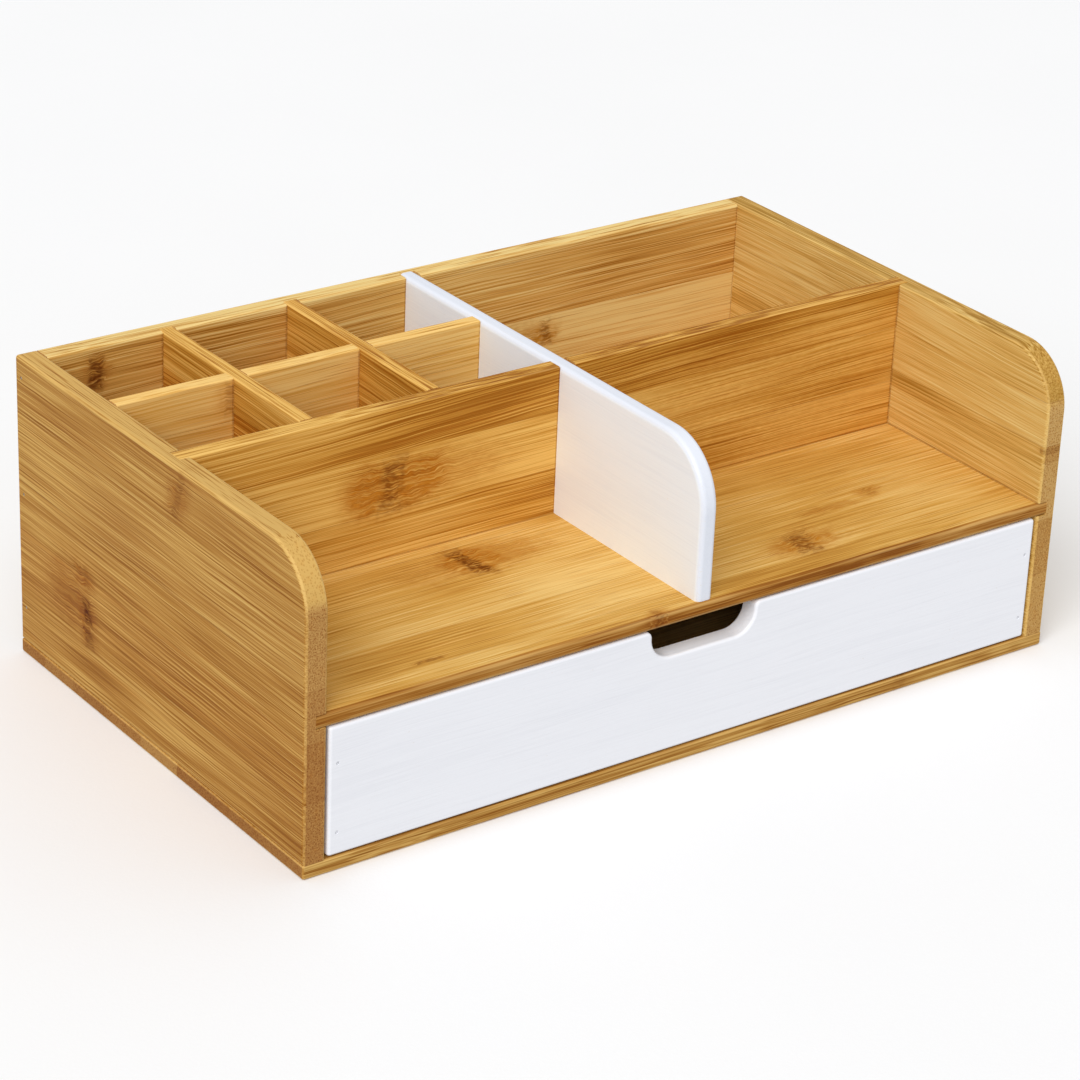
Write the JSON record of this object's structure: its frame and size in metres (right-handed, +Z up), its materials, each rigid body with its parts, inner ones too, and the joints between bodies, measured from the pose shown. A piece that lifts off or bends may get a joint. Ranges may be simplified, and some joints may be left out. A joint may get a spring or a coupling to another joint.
{
  "type": "desk organizer",
  "caption": "Bamboo desk organizer with a gridded pen holder, a rear compartment and open bays above a wide drawer with a finger notch.",
  "frame": {"origin": "middle of the underside", "axes": "+X to the right along the width, -Y out of the front where the drawer opens, +Z up"},
  "size_m": [0.34, 0.2, 0.122],
  "materials": {
    "bamboo": "clear satin lacquer over laminated bamboo",
    "bamboo_pale": "sanded bamboo, unlacquered, inside the drawer",
    "white_paint": "satin white paint on wood",
    "steel": "bright wire brads"
  },
  "bodies": {
    "carcass": {"bottom_board": "bamboo", "left_side_panel": "bamboo", "right_side_panel": "bamboo", "shelf_board": "bamboo", "back_panel": "bamboo", "compartment_wall": "bamboo", "centre_divider": "white_paint", "pen_divider_long": "bamboo", "pen_divider_cross_left": "bamboo", "pen_divider_cross_right": "bamboo", "back_panel_brads": "steel", "bottom_board_brads": "steel"},
    "drawer": {"drawer_front": "white_paint", "drawer_left_side": "bamboo_pale", "drawer_right_side": "bamboo_pale", "drawer_back": "bamboo_pale", "drawer_bottom": "bamboo_pale", "drawer_front_brads": "steel", "drawer_back_brads": "steel"}
  },
  "joints": [
    {"name": "drawer_slide", "type": "slide", "parent": "carcass", "child": "drawer", "axis": [0, -1, 0], "range_m": [0, 0.15]}
  ]
}
